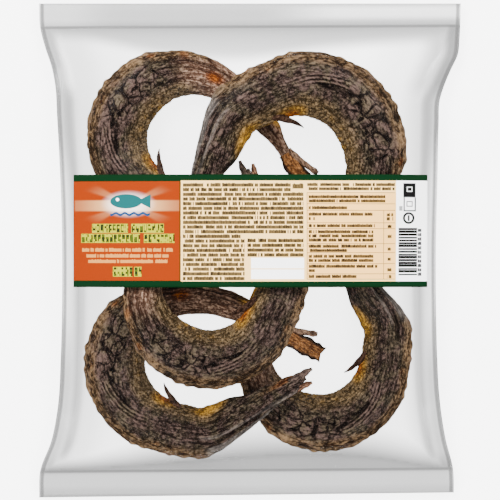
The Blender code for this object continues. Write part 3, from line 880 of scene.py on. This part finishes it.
class Print(Wire):
    """A print on the sticker: its paint so far, its shader, and x and y in millimetres."""

    def __init__(self, name, field):
        material, wire, self.shader = new_material(name, roughness=0.7, specular=0.02)
        self.material = material
        from_middle = wire.node("ShaderNodeTexCoord", {}, {}, "Object")
        self.place = from_middle.stretch((PRINT_SCALE, PRINT_SCALE, 1 / MM))
        self.x, self.y, _ = self.place.parts()
        self.paint = field
        super().__init__(wire.tree)

    def lay(self, mask, colour):
        """Paints a colour where the mask is 1."""
        self.paint = mask.mix(self.paint, colour)

    def block(self, left, right, bottom, top, soft=0.0):
        """1 inside a rectangle of the print and 0 outside, eased at its edge where soft."""
        x, y = self.x, self.y
        if soft:
            return ((x.rise(left - soft, left + soft) * (1 - x.rise(right - soft, right + soft)))
                    * (y.rise(bottom - soft, bottom + soft) * (1 - y.rise(top - soft, top + soft))))
        return (x > left) * (x < right) * (y > bottom) * (y < top)

    def oval(self, middle_x, middle_y, half_wide, half_tall):
        """1 inside an upright ellipse of the print and 0 outside."""
        return self.far(middle_x, middle_y, half_wide, half_tall) < 1.0

    def far(self, middle_x, middle_y, half_wide, half_tall):
        """Distance from a point in half widths and half heights: the root of the two squares."""
        aside = (self.x - middle_x) / half_wide
        above = (self.y - middle_y) / half_tall
        return (aside * aside + above * above).math("SQRT")

    def chance(self, *cells):
        """An even random value for each whole-number cell."""
        cell = self.node("ShaderNodeCombineXYZ", {}, dict(enumerate(cells)))
        return self.node("ShaderNodeTexWhiteNoise", {"noise_dimensions": "3D"}, {"Vector": cell}, "Value")

    def rows(self, left, right, first, count, pitch, tall, seed, grain=0.6, words=6.5):
        """Rows of small marks in groups with narrow gaps: every cell of one grain has a random
        shade, and a third of the cells reach higher."""
        down = (self.y * -1 + first) / pitch
        row = down.math("FLOOR")
        ink = self.chance((self.x / grain).math("FLOOR"), row, seed)
        gap = self.chance((self.x / WORD_GAP).math("FLOOR"), row, seed + 50) < WORD_GAP / words
        low = (ink * 7).math("FRACT") < 0.65
        line = ((down - row) < tall / pitch) * ((down - row) > low * 0.1)
        return self.block(left, right, first - count * pitch, first) * line * (1 - gap) * (ink * 0.1 + 0.89)

    def blocks(self, left, right, bottom, top, grow=0.0):
        """A row of plain upright blocks, wider and taller where they grow."""
        part = ((self.x - left) / BLOCK_WIDE).math("FRACT")
        body = abs(part - 0.5) < (0.38 + grow / BLOCK_WIDE)
        return self.block(left, right, bottom - grow, top + grow) * body

    def finish(self, bars):
        """Lays the green bars along both long edges and gives the paper its faint grain."""
        self.lay((self.y > bars[1]).math("MAXIMUM", self.y < bars[0]), GREEN)
        grain = self.place.noise(0.8, 3.0, 0.6)
        self.lay(grain * 0.04, tone(1.5, 1.2, 1.0))
        feed(self.shader, Base_Color=self.paint, Roughness=0.62 + grain * 0.12)
        return self.material


def union(masks):
    """1 where any of the masks is 1."""
    joined = masks[0]
    for mask in masks[1:]:
        joined = joined.math("MAXIMUM", mask)
    return joined


# The orange panel: a pale band, rays and a glow behind a plain fish over a wave, and rows of plain
# blocks and small marks below.
title = Print("title_print", ORANGE)
GLOW = (-73.0, 27.5)
MARK_Y = 29.2
beside = abs(title.x - GLOW[0])
band = title.block(LABEL_LEFT, PANEL_EDGE, 23.4, 29.8, 0.6) * (0.62 - beside.rise(0, 34) * 0.5)
title.lay(band, PALE)
slant = abs(title.y - GLOW[1]) / (beside + 0.5)
rays = slant.rise(0.26, 0.36) * (1 - slant.rise(0.5, 0.66))
rays = rays * (1 - title.far(*GLOW, 34, 16).rise(0.5, 1.0))
title.lay(rays * 0.12, PALE)
title.lay((1 - title.far(*GLOW, 18, 9).rise(0.3, 1.0)) * 0.6, WHITE)
tail_fin = (title.x > -66.0) * (title.x < -59.6) * (abs(title.y - MARK_Y) < (title.x + 68.0) * 0.5)
title.lay(union([title.oval(-74.4, MARK_Y, 9.6, 4.3), tail_fin]), tone(0.5, 6.4, 6.6))
title.lay(title.oval(-79.6, 30.3, 1.0, 1.0), WHITE)
wave = abs((title.x * 1.15).math("SINE") * 0.6 + 21.6 - title.y) < 0.7
title.lay(title.block(-84, -60, 19, 24) * wave, tone(0.6, 3.2, 9.5))
PANEL_BLOCKS = [(-95.0, -73.2, 10.6, 15.4), (-71.2, -51.6, 10.6, 15.4), (-101.6, -66.0, 4.6, 9.4),
                (-63.6, -45.2, 4.6, 9.4), (-82.2, -70.4, -15.6, -10.4), (-69.4, -65.0, -15.6, -10.4)]
speck = title.chance((title.x / 1.15).math("FLOOR"), (title.y / 1.3).math("FLOOR"), 0.0)
block_tone = (speck > 0.62).mix(tone(4.0, 6.0, 0.5), tone(27.0, 27.0, 0.8))
block_tone = (speck < 0.34).mix(block_tone, tone(1.0, 1.5, 0.4))
outline = union([title.blocks(*block, BLOCK_OUTLINE) for block in PANEL_BLOCKS])
title.lay(outline * 0.9, tone(31.0, 30.0, 0.6))
title.lay(union([title.blocks(*block) for block in PANEL_BLOCKS]), block_tone)
PANEL_ROWS = [(-101, -45.6, 1.2), (-98.4, -48.8, -2.3), (-97.6, -49.4, -5.6)]
for seed, (left, right, first) in enumerate(PANEL_ROWS, 1):
    title.lay(title.rows(left, right, first, 1, 3.2, 2.2, seed, grain=0.7) * 0.5, tone(70.0, 34.0, 8.0))
title.lay(title.x > PANEL_EDGE, tone(5.0, 2.2, 0.3))

# The cream field: blocks of small marks, one of them heavier, two white boxes and a ruled table.
small = Print("small_print", CREAM)
TABLE_LEFT = 34.0
TABLE_TOP = 34.4
TABLE_BOTTOM = -17.5
small.lay(small.block(TABLE_LEFT, 90, TABLE_BOTTOM, TABLE_TOP), TABLE)
small.lay(small.rows(-40.2, 24.4, 40.2, 2, 2.8, 2.3, 3.0), INK)
small.lay(small.rows(25.4, 32.0, 40.0, 1, 4.6, 3.2, 9.0, grain=0.9, words=70.0), BOLD_INK)
small.lay(small.rows(-40.2, 32.0, 34.6, 9, 2.8, 2.3, 4.0), INK)
small.lay(small.rows(-40.2, -3.2, 9.4, 10, 2.8, 2.3, 5.0), INK)
small.lay(small.rows(-1.6, 32.0, 6.9, 4, 2.85, 2.3, 6.0, grain=0.5), BOLD_INK)
for bottom, top in [(-11.0, -4.6), (-17.4, -11.6)]:
    small.lay(small.block(0.6, 32.4, bottom, top), WHITE)
TABLE_LINES = [TABLE_TOP, 27.7, 23.8, 16.3, 12.8, 3.8, -1.6, -8.2, -14.3, TABLE_BOTTOM]
HALF_RULE = 0.15
upright = [small.block(80.1, 80.4, TABLE_BOTTOM, 23.8),
           small.block(TABLE_LEFT, 34.3, TABLE_BOTTOM, TABLE_TOP)]
level = [small.block(TABLE_LEFT, 87.2, line - HALF_RULE, line + HALF_RULE) for line in TABLE_LINES]
small.lay(union(upright + level) * 0.92, INK)
# Left and right end, top of the first row and number of rows of each group in the table.
TABLE_PRINT = [(34.2, 87.0, 40.3, 2), (35.1, 81.2, 33.0, 2), (35.1, 58.2, 26.4, 1), (35.1, 74.1, 22.5, 1),
               (35.1, 38.8, 19.9, 1), (35.1, 74.9, 15.6, 1), (35.1, 74.0, 12.0, 3), (35.1, 75.7, 3.3, 1),
               (35.1, 58.2, 0.8, 1), (35.1, 74.0, -2.7, 2), (35.1, 76.4, -8.7, 1), (35.1, 38.8, -11.2, 1),
               (35.1, 63.9, -14.8, 1), (82, 86, 22.2, 2), (82.6, 85, 15.2, 1), (82.6, 85, 9.2, 1),
               (82.6, 84.6, 1.6, 1), (82.6, 84.6, -4.4, 1), (82.4, 85, -10.8, 1), (82.4, 85, -15.0, 1)]
for seed, (left, right, first, count) in enumerate(TABLE_PRINT):
    small.lay(small.rows(left, right, first, count, 2.5, 2.0, 10.0 + seed), INK)

# The white strip: plain outlined shapes and bars.
strip = Print("strip_print", WHITE)
strip.lay(strip.block(92.0, 99.6, 31.6, 40.2, 0.3), grey(0.3))
strip.lay((strip.block(94.2, 97.6, 35.0, 38.0) - strip.block(94.7, 97.1, 35.5, 37.5)) * 0.75, WHITE)
strip.lay(strip.block(92.2, 99.8, 23.2, 31.6) - strip.block(93.0, 99.0, 24.0, 32.0), grey(1.5))
strip.lay(strip.block(94.0, 97.8, 26.0, 29.4) - strip.block(94.6, 97.2, 26.6, 28.8), grey(3))
strip.lay(strip.block(89.6, 91.6, 23.6, 26.4) * 0.8, grey(2))
strip.lay(strip.oval(95.4, 19.2, 3.6, 3.6) - strip.oval(95.4, 19.2, 2.2, 2.2), grey(1))
strip.lay(strip.block(94.8, 96.0, 17.4, 21.0), grey(2))
# A bar in each step, over a random 58 to 98 percent of it.
BAR_STEP = 1.7
step = strip.y / BAR_STEP
bar = step.math("FRACT") < (strip.chance(step.math("FLOOR"), 5.0, 3.0) * 0.4 + 0.58)
strip.lay(strip.block(89.2, 100.6, -15.2, 13.5) * bar, grey(0.46))
strip.lay(strip.rows(100.9, 103.2, 13.0, 11, 2.65, 2.1, 40.0, grain=0.8, words=90.0), grey(0.7))

label = make_piece("paper_label", label_points, label_faces, {}, title.finish(BARS_LEFT))
label.data.materials.append(small.finish(BARS_RIGHT))
label.data.materials.append(strip.finish(BARS_RIGHT))
face_x = label_points[label_faces[0], 0].mean(axis=1)
zones = (face_x > PAPER_LEFT).astype(np.int32) + (face_x > STRIP_LEFT)
label.data.polygons.foreach_set("material_index", zones)
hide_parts("label")

# A white light table, with soft lamps all round it and none overhead, so that nothing shines back
# up. The camera looks straight down through a long lens, and the picture is VIEW_WIDTH across at
# OUTLINE_HEIGHT over the table. Lengths are in metres here, and the lens and sensor in millimetres.
FLOOR_HALF = 1.6
FLOOR_DROP = 0.0003
FLOOR_GLOW = 5.2
WORLD_GLOW = 0.6
LAMP_FAR = 1.5
LAMP_SIZE = 0.8
CAMERA_LENS = 400.0
CAMERA_SENSOR = 36.0
VIEW_WIDTH = 0.3
OUTLINE_HEIGHT = 0.005

floor_mesh = bpy.data.meshes.new("floor")
corners = [(x * FLOOR_HALF, y * FLOOR_HALF, -FLOOR_DROP) for x, y in [(-1, -1), (1, -1), (1, 1), (-1, 1)]]
floor_mesh.from_pydata(corners, [], [(0, 1, 2, 3)])
floor = in_scene("floor", floor_mesh)
floor_material, wire, shader = new_material("floor_white", roughness=0.9, specular=0.0)
shader.inputs["Base Color"].default_value = grey(42)
shader.inputs["Emission Color"].default_value = grey(100)
shader.inputs["Emission Strength"].default_value = FLOOR_GLOW
floor_mesh.materials.append(floor_material)

world = bpy.data.worlds.new("studio")
world.use_nodes = True
world.node_tree.nodes["Background"].inputs["Color"].default_value = grey(100)
world.node_tree.nodes["Background"].inputs["Strength"].default_value = WORLD_GLOW
bpy.context.scene.world = world

# Each lamp's turn round the table and height above it in degrees, and its power in watts.
LAMPS = [("back_left", 130, 48, 66.0), ("back_right", 50, 42, 42.0), ("front_left", 225, 40, 30.0),
         ("front_right", 315, 40, 30.0)]
for name, round_turn, climb, power in LAMPS:
    lamp = bpy.data.lights.new(name, "AREA")
    lamp.energy = power
    lamp.size = LAMP_SIZE
    lamp_object = in_scene(name, lamp)
    round_turn, climb = np.radians((round_turn, climb))
    level = np.cos(climb)
    way = Vector((np.cos(round_turn) * level, np.sin(round_turn) * level, np.sin(climb)))
    lamp_object.location = way * LAMP_FAR
    lamp_object.rotation_euler = way.to_track_quat("Z", "Y").to_euler()

camera = bpy.data.cameras.new("camera")
camera.lens = CAMERA_LENS
camera.sensor_width = CAMERA_SENSOR
camera_object = in_scene("camera", camera)
camera_object.location = (0, 0, OUTLINE_HEIGHT + VIEW_WIDTH * CAMERA_LENS / CAMERA_SENSOR)
bpy.context.scene.camera = camera_object
